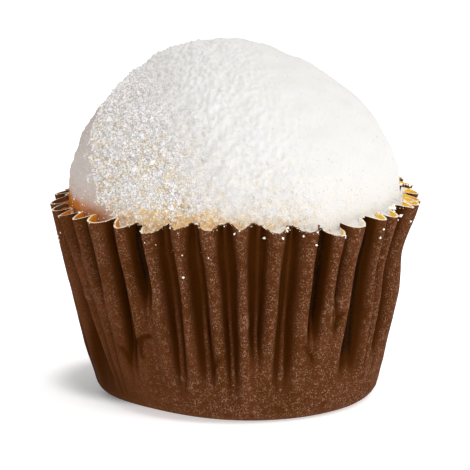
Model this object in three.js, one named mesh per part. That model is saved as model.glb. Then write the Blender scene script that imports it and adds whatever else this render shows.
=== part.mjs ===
// A brigadeiro: a soft milk sweet rolled into a ball, coated in milk powder, in its pleated
// paper case. Millimetres, +Z up. The origin is the middle of the case's flat base, on the
// surface that it stands on. The side shown to a viewer faces -Y, with +X to their right.
import * as THREE from "three";

// ---- Driving dimensions

const BALL_WIDTH = 32; // across the widest part of the ball
const BALL_MIDDLE = 18.2; // height of the widest part
const BALL_TOP = 34.8; // height of the ball's crown
const BALL_ASIDE = 0.2; // how far the ball sits to the left in its case
const BALL_LEAN = 0.9; // how far its crown leans further to the left
const BALL_FLOOR = 0.5; // height of its flattened underside
const BALL_SETTLED = 1.035; // how much deeper its lower half would be without its flat underside
const BALL_HELD = 0.04; // share of its width that the paper takes from it under its middle
const HELD_FROM = [0.02, 0.2]; // how far under its middle that begins, as shares of its lower half
const LET_GO_FROM = [0.3, 0.7]; // and where it eases again
const LET_GO = 0.7; // the share of it that is gone below
const FREE_BELOW = 0.3; // share of its lumps that are left where the paper holds it
const FREE_FROM = [0.1, 0.3]; // how far over its middle they come to their full height

const PAPER = 0.2; // thickness of the paper
const GAP = 0.3; // clear space between the ball and the paper
const LUMP_ROOM = 0.15; // more of it, for the ball's lumps
const BASE_FLAT = 11.85; // radius of the flat base
const BASE_LIFT = 0.55; // how far the base's edge curls up at its front left
const LIFT_AT = -48; // azimuth where it curls up most, in degrees
const LIFT_REACH = 38; // how far round the curl reaches, in degrees
const FLAT_INSET = 1; // how far inside the bend the base lies on the table
const LIFT_PULLS = 3; // how much further inside, for each millimetre that the edge curls up
const BASE_ROUNDING = 1.9; // radius of the bend between base and wall
const WALL_SLOPE = 0.235; // how far the wall leans out for each millimetre of height
const WALL_BULGE = 0.3; // how much wider the wall stands on the left
const WALL_PINCH = 0.75; // how far it is drawn in on the right, under the rim
const PINCH_HEIGHT = 14.7; // height where it is drawn in most
const PINCH_REACH = 3; // how far above and below that height
const BULGE_FROM = 5; // height from which the left stands wider
const RIM_HEIGHT = 19.4; // mean height of the pleats' outer ridges at the rim
const RIM_TILT = 0.5; // round the back, how much higher it is on the right, and lower on the left
const FOLD_RISE = 0.5; // the inner folds stand this much higher than the ridges
const PLEAT_DEPTH = 1.6; // from outer ridge to inner fold, at the rim
const PLEAT_SQUARENESS = 0.8; // 0 is a plain sine wave, and more makes flat ridges and folds
const MIDDLE_RIDGE = 0.3; // how high a lesser ridge stands in each fold, as a share of its depth
const MIDDLE_REACH = 0.085; // how far it reaches to each side, as a share of a pleat
const RIDGE_SPREAD = 1.35; // how much wider the ridges are at the rim than below it
const SPREAD_FROM = 0.75; // share of the wall's height from which they widen
const MOST_RIDGE = 0.7; // the largest share of the way between two folds that ridges take up
const LEAST_DEPTH = 0.25; // share of a pleat's depth that is left where it is pressed flat
const FULL_DEPTH_AT = 13; // height on the wall from which the pleats have their full depth
const PRESS_FADE = 2; // how far above and below its height a pressed fold comes to its depth
const PLEAT_LEAN = 0.35; // share of its depth that a pleat may lean over sideways

// Each pleat on the side that is seen, from left to right: the azimuth of its outer ridge at the
// rim, in degrees from the front, and how much further round the ridge stands at the base; half
// the ridge's width, in degrees; the height of its rim over the mean; and the height on the wall
// under which the fold after it is pressed flat.
const SEEN_PLEATS = [
  { at: -90, drift: 4, half: 2.8, rim: -0.7, flat: 5 },
  { at: -80, drift: 8, half: 2.8, rim: -0.75, flat: 2 },
  { at: -70.3, drift: 15.8, half: 3, rim: -0.7, flat: 16.5 },
  { at: -59.5, drift: 8, half: 3.6, rim: -0.4, flat: 13 },
  { at: -50.4, drift: 2, half: 3.4, rim: -0.2, flat: 5.5 },
  { at: -39.3, drift: 2.4, half: 3.6, rim: 0, flat: 12 },
  { at: -29.2, drift: 2.7, half: 2.8, rim: -0.2, flat: 2.5 },
  { at: -18.9, drift: 2.3, half: 2.8, rim: 0.5, flat: 3.5 },
  { at: -9.3, drift: 4, half: 1.9, rim: 0.5, flat: 1.5 },
  { at: 1.2, drift: 2, half: 2, rim: 0.6, flat: 7 },
  { at: 12.6, drift: -1.4, half: 1.85, rim: 0.2, flat: 1 },
  { at: 23.7, drift: -0.2, half: 2, rim: 0.1, flat: 9 },
  { at: 33.8, drift: -1.1, half: 1.9, rim: -0.6, flat: 11.5 },
  { at: 41.1, drift: -1.2, half: 2, rim: -0.1, flat: 4 },
  { at: 51.9, drift: 5, half: 2.1, rim: -0.05, flat: 12 },
  { at: 58.3, drift: 1.4, half: 1.7, rim: -0.1, flat: 6 },
  { at: 70.8, drift: -0.8, half: 2.3, rim: 0.1, flat: 10 },
  { at: 79, drift: 0, half: 2.8, rim: -0.12, flat: 9 },
  { at: 88.5, drift: 0, half: 2.6, rim: -0.35, flat: 4 },
  { at: 98.3, drift: -2, half: 3.2, rim: -0.2, flat: 3 },
  { at: 107, drift: 2, half: 2.4, rim: 0.05, flat: 3 },
  { at: 115.5, drift: 0, half: 2.5, rim: 0.3, flat: 6 },
];
const PLEATS = 36; // all the way round
// The pleats at the back: what each has at the least, and how much more by chance.
const HIDDEN_STRAY = [-0.15, 0.3]; // off its even place, as a share of the way between two
const HIDDEN_DRIFT = [-2.5, 5];
const HIDDEN_HALF = [2.2, 1.2];
const HIDDEN_RIM = [-0.2, 0.4];
const HIDDEN_FLAT = [3, 9];
const STEPS_PER_PLEAT = 8;
const WALL_ROWS = [0.13, 0.31, 0.53, 0.77, 1]; // shares of the wall's height
const BEND_STEPS = 2; // steps round the bend between base and wall

const BALL_DETAIL = 12; // how finely the ball's surface is divided
const WAVES = 7; // how many waves, each its own way, make up a random surface
// The ball's unevenness: how far apart its lumps lie, and how high they stand.
const BALL_LUMPS = [
  { apart: 14, high: 0.1 },
  { apart: 6, high: 0.09 },
  { apart: 2.8, high: 0.08 },
];
// Its larger swells and hollows: the azimuth and the height angle of the middle, in degrees,
// how far each reaches, in degrees, and how high it stands.
const BALL_SWELLS = [
  { at: -85, up: 20, reach: 22, high: 0.35 },
  { at: 88, up: 22, reach: 20, high: 0.4 },
  { at: 85, up: 60, reach: 20, high: -0.4 },
  { at: -80, up: 44, reach: 20, high: -0.4 },
  { at: -75, up: 68, reach: 15, high: -0.4 },
  { at: -20, up: 87, reach: 9, high: 0.12 },
];

const TURN = 2 * Math.PI;
const radians = (degrees) => (degrees * Math.PI) / 180;
const ease = (low, high, x) => THREE.MathUtils.smoothstep(x, low, high);

// The same number from 0 to 1 each time for one pair of whole numbers.
function chance(index, seed) {
  const x = Math.sin(index * 12.9898 + seed * 78.233) * 43758.5453;
  return x - Math.floor(x);
}

// A gentle random surface, about -1 to 1, with lumps that lie "apart" from each other.
function lumps(point, apart, seed) {
  let sum = 0;
  for (let k = 0; k < WAVES; k++) {
    const up = 2 * chance(k, seed) - 1;
    const round = TURN * chance(k, seed + 1);
    const flat = Math.sqrt(1 - up * up);
    const along = point.x * flat * Math.cos(round) + point.y * flat * Math.sin(round) + point.z * up;
    sum += Math.sin((TURN * along) / apart + TURN * chance(k, seed + 2));
  }
  return sum / Math.sqrt(WAVES / 2) / 2;
}

// ---- The ball

const UPPER_HALF = BALL_TOP - BALL_MIDDLE;
const LOWER_HALF = (BALL_MIDDLE - BALL_FLOOR) * BALL_SETTLED;

// How wide the ball is at a height, before its lumps. Its lower half is drawn out to the case's
// floor, and narrowed a little where the paper holds it.
function ballRadius(height) {
  const share = (height - BALL_MIDDLE) / (height > BALL_MIDDLE ? UPPER_HALF : LOWER_HALF);
  const held = BALL_HELD * ease(...HELD_FROM, -share) * (1 - LET_GO * ease(...LET_GO_FROM, -share));
  return (BALL_WIDTH / 2) * Math.sqrt(Math.max(0, 1 - share * share)) * (1 - held);
}

function ballSwell(direction) {
  let rise = 0;
  for (const { at, up, reach, high } of BALL_SWELLS) {
    const middle = onCircle(Math.cos(radians(up)), radians(at), Math.sin(radians(up)));
    rise += high * Math.exp(-((direction.angleTo(middle) / radians(reach)) ** 2));
  }
  return rise;
}

function ballPoint(direction) {
  const height = BALL_MIDDLE + (direction.z > 0 ? UPPER_HALF : LOWER_HALF) * direction.z;
  const across = Math.hypot(direction.x, direction.y);
  const radius = across > 0 ? ballRadius(height) / across : 0;
  const point = new THREE.Vector3(direction.x * radius, direction.y * radius, height);
  let rise = ballSwell(direction);
  BALL_LUMPS.forEach(({ apart, high }, k) => (rise += high * lumps(point, apart, 10 * k + 1)));
  const free = FREE_BELOW + (1 - FREE_BELOW) * ease(...FREE_FROM, direction.z);
  point.addScaledVector(direction, rise * free);
  point.x -= BALL_ASIDE + BALL_LEAN * Math.max(0, direction.z) ** 2;
  point.z = Math.max(point.z, BALL_FLOOR);
  return point;
}

function ballGeometry() {
  const geometry = new THREE.IcosahedronGeometry(1, BALL_DETAIL);
  const place = geometry.getAttribute("position");
  const point = new THREE.Vector3();
  for (let i = 0; i < place.count; i++) {
    point.fromBufferAttribute(place, i).normalize();
    place.setXYZ(i, ...ballPoint(point));
  }
  geometry.computeVertexNormals();
  return geometry;
}

// ---- The paper case

// Every pleat in order round the case: those seen, then those at the back, spread evenly over
// what is left with a little chance in each.
function allPleats() {
  const first = SEEN_PLEATS[0].at;
  const last = SEEN_PLEATS.at(-1).at;
  const hidden = PLEATS - SEEN_PLEATS.length;
  const step = (360 + first - last) / (hidden + 1);
  const pleats = [...SEEN_PLEATS];
  for (let k = 1; k <= hidden; k++) {
    const draw = ([least, more], share) => least + more * share;
    const at = last + step * (k + draw(HIDDEN_STRAY, chance(k, 3)));
    pleats.push({
      at,
      drift: draw(HIDDEN_DRIFT, chance(k, 7)),
      half: draw(HIDDEN_HALF, chance(k, 8)),
      rim: RIM_TILT * Math.sin(radians(at)) + draw(HIDDEN_RIM, chance(k, 4)),
      flat: draw(HIDDEN_FLAT, chance(k, 5) ** 2),
    });
  }
  return pleats.map((pleat, k) => ({ ...pleat, lean: chance(k, 6) - 0.5 }));
}

const pleats = allPleats();

const WALL_ANGLE = Math.atan(WALL_SLOPE);
const BEND_TOP = BASE_ROUNDING * (1 - Math.sin(WALL_ANGLE));
const BEND_RADIUS = BASE_FLAT + BASE_ROUNDING * Math.cos(WALL_ANGLE);

// What holds at a place round the case and a share of the wall's height: place is counted in
// pleats, whole on a ridge and half way between in an inner fold.
function pleatAt(place, share) {
  const before = Math.floor(place);
  const wave = place - before;
  const here = pleats[before % PLEATS];
  const next = pleats[(before + 1) % PLEATS];
  const start = here.at + here.drift * (1 - share);
  const end = next.at + next.drift * (1 - share) + (before + 1 >= PLEATS ? 360 : 0);
  const spread = 1 + (RIDGE_SPREAD - 1) * ease(SPREAD_FROM, 1, share);
  const taken = (spread * (here.half + next.half)) / (end - start);
  const fitted = (spread * Math.min(1, MOST_RIDGE / taken)) / (end - start);
  const left = fitted * here.half;
  const right = fitted * next.half;
  let across = left + (1 - left - right) * (2 * wave - 0.5);
  if (wave < 0.25) across = 4 * wave * left;
  if (wave > 0.75) across = 1 - 4 * (1 - wave) * right;
  const mix = (a, b) => a + (b - a) * ease(0.25, 0.75, wave);
  const squared = (height) => Math.tanh(PLEAT_SQUARENESS * height);
  const main = 0.5 - squared(Math.cos(TURN * wave)) / squared(1) / 2;
  const middle = MIDDLE_RIDGE * Math.exp(-(((wave - 0.5) / MIDDLE_REACH) ** 2));
  return {
    azimuth: radians(start + (end - start) * across),
    rim: mix(here.rim, next.rim),
    lean: mix(here.lean, next.lean),
    flat: here.flat,
    fold: main - middle, // 0 on the ridge, near 1 at the fold's deepest
    side: Math.sin(TURN * wave),
  };
}

// How far the base's edge is curled up at an azimuth.
function lift(azimuth) {
  const turn = azimuth - radians(LIFT_AT);
  const off = Math.atan2(Math.sin(turn), Math.cos(turn));
  return BASE_LIFT * Math.exp(-((off / radians(LIFT_REACH)) ** 2));
}

// The outer ridge's radius at a height.
function ridgeRadius(height, azimuth) {
  const left = Math.max(0, -Math.sin(azimuth)) ** 2;
  const right = Math.max(0, Math.sin(azimuth)) ** 4;
  const bulge = WALL_BULGE * left * ease(BEND_TOP, BULGE_FROM, height);
  const pinch = WALL_PINCH * right * Math.exp(-(((height - PINCH_HEIGHT) / PINCH_REACH) ** 2));
  return BEND_RADIUS + WALL_SLOPE * (height - BEND_TOP) + bulge - pinch;
}

// A point of the paper's middle surface on the wall. share runs from 0 at the top of the bend
// to 1 at the rim. The inner folds stop short of the ball.
function wallPoint(place, share) {
  const pleat = pleatAt(place, share);
  const rim = RIM_HEIGHT + pleat.rim + FOLD_RISE * pleat.fold;
  const height = BEND_TOP + (rim - BEND_TOP) * share;
  const pressed = ease(pleat.flat - PRESS_FADE, pleat.flat + PRESS_FADE, height);
  const grown = ease(0, FULL_DEPTH_AT, height);
  const least = (factor) => LEAST_DEPTH + (1 - LEAST_DEPTH) * factor;
  const depth = PLEAT_DEPTH * least(pressed) * least(grown);
  const ball = ballRadius(height) - BALL_ASIDE * Math.sin(pleat.azimuth);
  const inner = ball + GAP + LUMP_ROOM + PAPER / 2;
  const radius = Math.max(ridgeRadius(height, pleat.azimuth) - depth * pleat.fold, inner);
  const azimuth = pleat.azimuth + (pleat.lean * depth * PLEAT_LEAN * pleat.side) / radius;
  return onCircle(radius, azimuth, height + lift(azimuth) * (1 - share) + PAPER / 2);
}

function onCircle(radius, azimuth, height) {
  return new THREE.Vector3(radius * Math.sin(azimuth), -radius * Math.cos(azimuth), height);
}

// One line of the middle surface, from the edge of what lies flat on the table up to the rim.
function paperLine(place) {
  const { azimuth } = pleatAt(place, 0);
  const up = lift(azimuth) + PAPER / 2;
  const flatEdge = BASE_FLAT - FLAT_INSET - LIFT_PULLS * lift(azimuth);
  const line = [onCircle(flatEdge, azimuth, PAPER / 2)];
  for (let k = 0; k < BEND_STEPS; k++) {
    const angle = (k / BEND_STEPS) * (Math.PI / 2 - WALL_ANGLE);
    const radius = BASE_FLAT + BASE_ROUNDING * Math.sin(angle);
    line.push(onCircle(radius, azimuth, BASE_ROUNDING * (1 - Math.cos(angle)) + up));
  }
  line.push(wallPoint(place, 0));
  WALL_ROWS.forEach((share) => line.push(wallPoint(place, share)));
  return line;
}

// The middle surface's normal at a row and column, pointing out of the case.
function paperNormal(lines, column, row) {
  const around = lines.length;
  const before = lines[(column + around - 1) % around][row];
  const after = lines[(column + 1) % around][row];
  const below = lines[column][Math.max(row - 1, 0)];
  const above = lines[column][Math.min(row + 1, lines[column].length - 1)];
  if (row === 0) return new THREE.Vector3(0, 0, -1);
  const across = after.clone().sub(before);
  return across.cross(above.clone().sub(below)).normalize();
}

// A closed sheet of the paper's thickness round the middle surface: outer skin, inner skin, and
// the cut edge at the rim.
function caseGeometry() {
  const around = PLEATS * STEPS_PER_PLEAT;
  const lines = Array.from({ length: around }, (_, k) => paperLine(k / STEPS_PER_PLEAT));
  const rows = lines[0].length;
  const points = [];
  for (const side of [0.5, -0.5]) {
    points.push(new THREE.Vector3(0, 0, PAPER * (0.5 - side)));
    for (let column = 0; column < around; column++) {
      for (let row = 0; row < rows; row++) {
        const out = paperNormal(lines, column, row).multiplyScalar(PAPER * side);
        points.push(lines[column][row].clone().add(out));
      }
    }
  }
  const skin = 1 + around * rows;
  const at = (inside, column, row) => inside * skin + 1 + (column % around) * rows + row;
  const faces = [];
  for (let k = 0; k < around; k++) {
    faces.push([0, at(0, k + 1, 0), at(0, k, 0)]);
    faces.push([skin, at(1, k, 0), at(1, k + 1, 0)]);
    for (let row = 0; row + 1 < rows; row++) {
      faces.push([at(0, k, row), at(0, k + 1, row), at(0, k + 1, row + 1)]);
      faces.push([at(0, k, row), at(0, k + 1, row + 1), at(0, k, row + 1)]);
      faces.push([at(1, k, row), at(1, k + 1, row + 1), at(1, k + 1, row)]);
      faces.push([at(1, k, row), at(1, k, row + 1), at(1, k + 1, row + 1)]);
    }
    faces.push([at(0, k, rows - 1), at(0, k + 1, rows - 1), at(1, k + 1, rows - 1)]);
    faces.push([at(0, k, rows - 1), at(1, k + 1, rows - 1), at(1, k, rows - 1)]);
  }
  const geometry = new THREE.BufferGeometry().setFromPoints(points);
  geometry.setIndex(faces.flat());
  geometry.computeVertexNormals();
  return geometry;
}

// ---- The two pieces

function piece(name, geometry, color, roughness) {
  const mesh = new THREE.Mesh(
    geometry,
    new THREE.MeshStandardMaterial({ color, roughness, metalness: 0 }),
  );
  mesh.name = name;
  return mesh;
}

const brigadeiro = new THREE.Group();
brigadeiro.add(piece("brigadeiro_ball", ballGeometry(), "#f1ebe3", 0.95));
brigadeiro.add(piece("paper_case", caseGeometry(), "#613c26", 0.8));

export default brigadeiro;
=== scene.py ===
"""A brigadeiro coated in milk powder, in its pleated paper case.

Sizes are in millimetres, and a mesh is scaled to metres as it is made. +Z is up, the side that
is shown faces -Y, and +X is to the viewer's right.
"""
from math import atan, cos, pi, radians, sin

import bpy
import numpy as np
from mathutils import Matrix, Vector, noise


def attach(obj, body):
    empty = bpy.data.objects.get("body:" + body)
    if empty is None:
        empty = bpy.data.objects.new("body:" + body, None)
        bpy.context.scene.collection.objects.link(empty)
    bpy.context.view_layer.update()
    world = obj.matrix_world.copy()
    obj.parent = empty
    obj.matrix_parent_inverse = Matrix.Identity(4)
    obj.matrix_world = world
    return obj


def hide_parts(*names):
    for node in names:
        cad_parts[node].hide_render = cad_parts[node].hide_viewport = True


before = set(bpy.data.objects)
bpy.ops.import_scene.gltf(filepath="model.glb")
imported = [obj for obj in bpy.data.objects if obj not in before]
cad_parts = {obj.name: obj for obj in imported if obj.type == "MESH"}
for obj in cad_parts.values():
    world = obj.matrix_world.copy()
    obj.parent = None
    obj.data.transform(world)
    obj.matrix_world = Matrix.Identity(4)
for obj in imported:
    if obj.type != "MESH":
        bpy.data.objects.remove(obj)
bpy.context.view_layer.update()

MM = 0.001
rng = np.random.default_rng(7)

# ---- Driving dimensions: the two solids'

BALL_WIDTH = 32.0  # across the widest part of the ball
BALL_MIDDLE = 18.2  # height of the widest part
BALL_TOP = 34.8  # height of the ball's crown
BALL_ASIDE = 0.2  # how far the ball sits to the left in its case
BALL_LEAN = 0.9  # how far its crown leans further to the left
BALL_FLOOR = 0.5  # height of its flattened underside
BALL_SETTLED = 1.035  # how much deeper its lower half is drawn, before it is flattened
BALL_HELD = 0.04  # share of its width that the paper takes under its middle
HELD_FROM = (0.02, 0.2)  # where that begins, as shares of its lower half
LET_GO_FROM = (0.3, 0.7)  # and where it eases again
LET_GO = 0.7  # the share of it that is gone below
FREE_BELOW = 0.3  # share of its lumps that are left where the paper holds it
FREE_FROM = (0.1, 0.3)  # how far over its middle they come to their full height
BALL_LUMPS = [(14.0, 0.1), (6.0, 0.09), (2.8, 0.08)]  # how far apart, how high
BALL_SWELLS = [  # azimuth and height angle of the middle, reach in degrees, how high
    (-85, 20, 22, 0.35),
    (88, 22, 20, 0.4),
    (85, 60, 20, -0.4),
    (-80, 44, 20, -0.4),
    (-75, 68, 15, -0.4),
    (-20, 87, 9, 0.12),
]

PAPER = 0.2  # thickness of the paper, as in the solid
BASE_FLAT = 11.85  # radius of the flat base
BASE_LIFT = 0.55  # how far the base's edge curls up at its front left
LIFT_AT = radians(-48)  # azimuth where it curls up most
LIFT_REACH = radians(38)  # how far round the curl reaches
FLAT_INSET = 1  # how far inside the bend the base lies on the table
LIFT_PULLS = 3  # and further for each millimetre that the edge curls up
BASE_ROUNDING = 1.9  # radius of the bend between base and wall
WALL_SLOPE = 0.235  # how far the wall leans out for each millimetre of height
WALL_BULGE = 0.3  # how much wider the wall stands on the left
BULGE_FROM = 5  # height from which the left stands wider
WALL_PINCH = 0.75  # how far it is drawn in on the right, under the rim
PINCH_HEIGHT = 14.7  # height where it is drawn in most
PINCH_REACH = 3  # how far above and below that height
RIM_HEIGHT = 19.4  # mean height of the pleats' outer ridges at the rim
RIM_TILT = 0.5  # at the back, how much higher it is right, and lower left
FOLD_RISE = 0.5  # the inner folds stand this much higher than the ridges
PLEAT_SQUARENESS = 0.8  # 0 is a plain sine wave, and more makes flat ridges and folds
MIDDLE_RIDGE = 0.3  # height of a lesser ridge in each fold, as a share of its depth
MIDDLE_REACH = 0.085  # how far it reaches to each side, as a share of a pleat
RIDGE_SPREAD = 1.35  # how much wider the ridges are at the rim than below it
SPREAD_FROM = 0.75  # share of the wall's height from which they widen
MOST_RIDGE = 0.7  # the largest share of the way round that ridges take up
LEAST_DEPTH = 0.25  # share of its depth that a pressed pleat keeps
FULL_DEPTH_AT = 13  # height from which pleats have their full depth
PRESS_FADE = 2  # how far above and below its height a pressed fold ends
PLEAT_LEAN = 0.35  # share of its depth that a pleat may lean sideways
SEEN_PLEATS = [  # azimuth at the rim, further round at the base, half width, rim, flat below
    (-90, 4, 2.8, -0.7, 5),
    (-80, 8, 2.8, -0.75, 2),
    (-70.3, 15.8, 3, -0.7, 16.5),
    (-59.5, 8, 3.6, -0.4, 13),
    (-50.4, 2, 3.4, -0.2, 5.5),
    (-39.3, 2.4, 3.6, 0, 12),
    (-29.2, 2.7, 2.8, -0.2, 2.5),
    (-18.9, 2.3, 2.8, 0.5, 3.5),
    (-9.3, 4, 1.9, 0.5, 1.5),
    (1.2, 2, 2, 0.6, 7),
    (12.6, -1.4, 1.85, 0.2, 1),
    (23.7, -0.2, 2, 0.1, 9),
    (33.8, -1.1, 1.9, -0.6, 11.5),
    (41.1, -1.2, 2, -0.1, 4),
    (51.9, 5, 2.1, -0.05, 12),
    (58.3, 1.4, 1.7, -0.1, 6),
    (70.8, -0.8, 2.3, 0.1, 10),
    (79, 0, 2.8, -0.12, 9),
    (88.5, 0, 2.6, -0.35, 4),
    (98.3, -2, 3.2, -0.2, 3),
    (107, 2, 2.4, 0.05, 3),
    (115.5, 0, 2.5, 0.3, 6),
]
PLEATS = 36  # all the way round
# The pleats at the back: what each has at the least, and how much more by chance.
HIDDEN_STRAY = (-0.15, 0.3)  # off its even place, as a share of the way between two
HIDDEN_DRIFT = (-2.5, 5)
HIDDEN_HALF = (2.2, 1.2)
HIDDEN_RIM = (-0.2, 0.4)
HIDDEN_FLAT = (3, 9)

WALL_ANGLE = atan(WALL_SLOPE)
BEND_TOP = BASE_ROUNDING * (1 - sin(WALL_ANGLE))  # height where the wall begins
BEND_RADIUS = BASE_FLAT + BASE_ROUNDING * cos(WALL_ANGLE)  # radius of the wall there
UPPER_HALF = BALL_TOP - BALL_MIDDLE
LOWER_HALF = (BALL_MIDDLE - BALL_FLOOR) * BALL_SETTLED

# ---- The photograph's view

PHOTO_SIDE = 470  # pixels
PIXELS_PER_MM = 10.3  # at the object
CAMERA_DISTANCE = 500.0
CAMERA_ELEVATION = radians(12)
CAMERA_TARGET = (-0.19, 0.0, 15.63)  # the point in the middle of the picture

# ---- Fine sizes, which only the looks have
#
# In a pair that says where something begins and where it is full, the second may be the lower.

TINY = 1e-9  # keeps a division safe at the ball's poles
WANDER = 0.03  # how far the pleats stray sideways on their way up
WANDER_EVERY = 7.5  # height of one such wave
WANDER_FROM = (3, 9)  # heights where it begins and where it is full
FOLD_DEPTH = 2.0  # deeper than in the solid, which keeps a wider gap to the ball
BALL_GAP = 0.2  # between the ball and the paper's middle surface, at the least
GAP_SOFTNESS = 0.1  # how gently a fold that meets that gap is bent
FRONT_DIP = 0.24  # how much lower the rim of the front pleats stands than in the solid
DIP_LEFT = (-48, -38)  # azimuths where that begins and where it is full
DIP_RIGHT = (47, 36)
COLUMNS_PER_PLEAT = 26
BASE_RADII = (2.0, 4.5, 7.0, 8.6)  # rings of points on the flat base
BEND_ROWS = 6
WALL_ROWS = 42
BALL_CELLS = 124  # cells along each edge of the cube that the ball's surface is made from
CROWDING = 0.3  # how far they are drawn towards the ball's top, where the surface shows
BACK = (92, 176)  # the side that is hidden: the azimuth where it begins, and its width
CREASES = [  # azimuth and height of the middle, length, tilt in degrees, how far it stands out
    (-67, 10.6, 1.6, 40, 0.1),
    (-61, 11.8, 1.4, 10, 0.08),
    (-36.5, 8.2, 1.2, 30, -0.1),
    (-37.5, 7.0, 1.0, 85, -0.09),
    (3, 10.6, 0.7, 80, 0.1),
    (34, 11.6, 1.3, 35, 0.1),
    (41, 11.6, 1.3, -40, 0.1),
    (43, 11.2, 1.2, -60, -0.09),
    (38, 9.9, 1.2, 70, -0.08),
    (32, 10.2, 1.0, 20, 0.09),
    (-46, 6.2, 1.2, -65, -0.08),
    (-20, 4.2, 1.6, -35, 0.07),
    (17, 4.8, 1.8, 40, 0.07),
    (28, 6.9, 1.4, -60, -0.08),
    (-8, 6.0, 1.4, 65, -0.07),
]
CREASE_WIDTH = 0.3
CREASE_BEND = 0.25  # how far it curves, as a share of its length
# The creases at the back: the same values, each at the least and how much more by chance.
HIDDEN_CREASES = 34
HIDDEN_CREASE = [BACK, (3, 11), (1, 1), (0, 150), (-0.15, 0.3)]
RUMPLE = 0.05  # how far the whole paper is uneven
RUMPLE_SIZE = 3.2
RUMPLE_FROM = (2.2, 5)  # heights where creases and unevenness begin and where they are full
RUMPLE_EASES = (16, 19)  # heights where they lessen again
RUMPLE_LOST = 0.6  # the share of them that is gone at the rim
# Folds that are painted darker, as painted shade.
SHADED_FOLDS = [  # azimuth at the rim, further round at the base, low end, reach, how much darker
    (29.3, -1, 9, 4, 1),
    (46.6, 2, 5, 4.3, 1),
    (-33.8, 2, 13, 3.5, 1),
    (-44.3, 2, 6, 2.5, 0.6),
    (-74.5, 12, 3, 2.5, 0.8),
    (64.5, -1, 6, 4, 1),
]
DARK_FADE = 2  # how far above and below its low end a dark fold comes to its shade

CRUMBS = [  # azimuth and height of the larger crumbs on the case's outside, and their radius
    (-77, 16.8, 0.1),
    (-78.5, 16.2, 0.1),
    (-79.5, 15.7, 0.1),
    (-63, 18.1, 0.17),
    (-61, 20.1, 0.12),
    (-17.5, 15.0, 0.12),
    (-17.5, 17.1, 0.08),
    (-8.7, 17.3, 0.08),
    (8.7, 18.8, 0.13),
    (24.7, 18.1, 0.1),
    (21, 19.0, 0.12),
    (51.7, 17.8, 0.14),
    (51.5, 18.5, 0.13),
    (68.5, 19.0, 0.17),
    (70.5, 18.4, 0.14),
    (-0.6, 19.4, 0.11),
    (14, 19.1, 0.12),
    (14.7, 19.8, 0.13),
    (16.6, 19.7, 0.12),
    (25.1, 19.2, 0.11),
    (-29, 18.3, 0.06),
    (-26.5, 17.9, 0.06),
    (35, 18.9, 0.08),
    (60, 18.8, 0.09),
]
# Smaller crumbs along the rim: how many, from which azimuth on, and how much further round.
RIM_CRUMBS = [(34, (62.5, 4)), (36, (96, 21))]
RIM_CRUMB_HEIGHT = (18.9, 1.1)
RIM_CRUMB_SIZE = (0.06, 0.08)
HIDDEN_CRUMBS = 60
HIDDEN_CRUMB_HEIGHT = (19.3, -9)
HIDDEN_CRUMB_SIZE = (0.06, 0.12)
RIM_DUST = 500  # places drawn along the rim, of which the crowded ones are kept
RIM_DUST_SIZE = (0.035, 0.06)
CRUMB_GROWTH = 1.35  # how much further than its radius a crumb is drawn
CRUMB_OUT = 0.6  # how far it stands out, as a share of its radius

DRIFT_STEPS = 7  # points across it, from the paper to the ball
DRIFT_UNDER = 0.5  # how far the drift lies under the rim
DRIFT_LEFT = (-62, 26)  # where it lies lower: azimuth, and how far round to each side
DRIFT_RIGHT = (100, 16)  # where it lies higher

# How the ball's coat is worn, and where painted shade and an amber painted reflection lie on
# it. Azimuths are in degrees and heights in millimetres. A side runs from the ball's upper right
# at -1 to its lower left at 1.
LOW_COUNTS = 0.5  # how much height counts beside how far left a place is
THIN_SIDE = (-0.32, 0.34)  # where the powder begins to lie thin, and is thinnest
THIN_FRONT = (0.6, -0.1)  # from back to front
THIN_LOW_AT = (8, 34)  # thin low on the front: azimuth, and reach to each side
THIN_LOW_FROM = (27, 20)
LOOSE_SIDE = (-0.85, -0.2)  # where the powder is loose and uneven
CREAM_FROM = (30, 24)  # where thin powder is stained by the sweet
# The smooth side, at the ball's far left, is also painted grey: painted shade.
SMOOTH_EDGE = -55  # azimuth of the smooth side's front edge, at this height:
SMOOTH_EDGE_HEIGHT = 21
SMOOTH_EDGE_LEAN = 4  # how much further back for each millimetre of height
SMOOTH_FROM = (30, 26)
REFLECTION_FROM = (21.1, 19.6)  # heights where an amber painted reflection of the gold case shows on the smooth side
HAZE_FROM = (23, 20)  # and where a little of it shows
BACK_FADE = (-150, -110)  # azimuths where what is on the left ends
GILT_AT = (-18, 30)  # gold flecks low on the front: azimuth and reach
GILT_FROM = (22.2, 19.6)

RELIEF = [(1.1, 0.14, 1), (0.42, 0.24, 2)]  # size of its features, how high, and their seed
RELIEF_LEAST = 0.12  # share of it that is left on firm powder
RELIEF_FROM = (15, 18)  # heights, the lower one inside the case
THIN_DIP = 0.12  # how much lower thin powder lies
SMOOTH_LOSS = 0.75  # share of the relief that is gone on the smooth side

COAT_GRAINS = [  # name, how many are drawn, smallest and largest radius, how deep they sit
    ("powder_fine", 40000, 0.07, 0.12, 0.0),
    ("powder_coarse", 36000, 0.10, 0.19, 0.0),
    ("powder_clumps", 2400, 0.20, 0.34, 0.65),
]
DOME_LOWEST = -0.05  # the lowest grains, as a share of the ball's upper half
GRAIN_LEAST = 0.04  # share of the drawn grains that lies anywhere
GRAIN_SHARES = {"thin": 0.76, "loose": 0.2, "gilt": 0.5}  # and more where the coat is worn
GRAINS_END = (0.25, 0.65)  # how smooth the coat is where they become few, and end
GRAIN_STAND = (-0.5, 0.3)  # how far a grain stands out, as shares of its radius
# The darker grains are painted shade.
SHADED_GRAINS = 0.34  # share of those on thin powder that are darker
GOLDEN_GRAINS = 0.45  # share of those among gold flecks that are golden
CORNER_REACH = (0.65, 1.25)  # of a grain's corners, as shares of its radius
GRAIN_STRETCH = (0.7, 1.2)  # how much longer or shorter it is each way


def ease(low, high, x):
    """0 on low's side, 1 on high's side, and a smooth change between them."""
    share = np.clip((x - low) / (high - low), 0, 1)
    return share * share * (3 - 2 * share)


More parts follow.
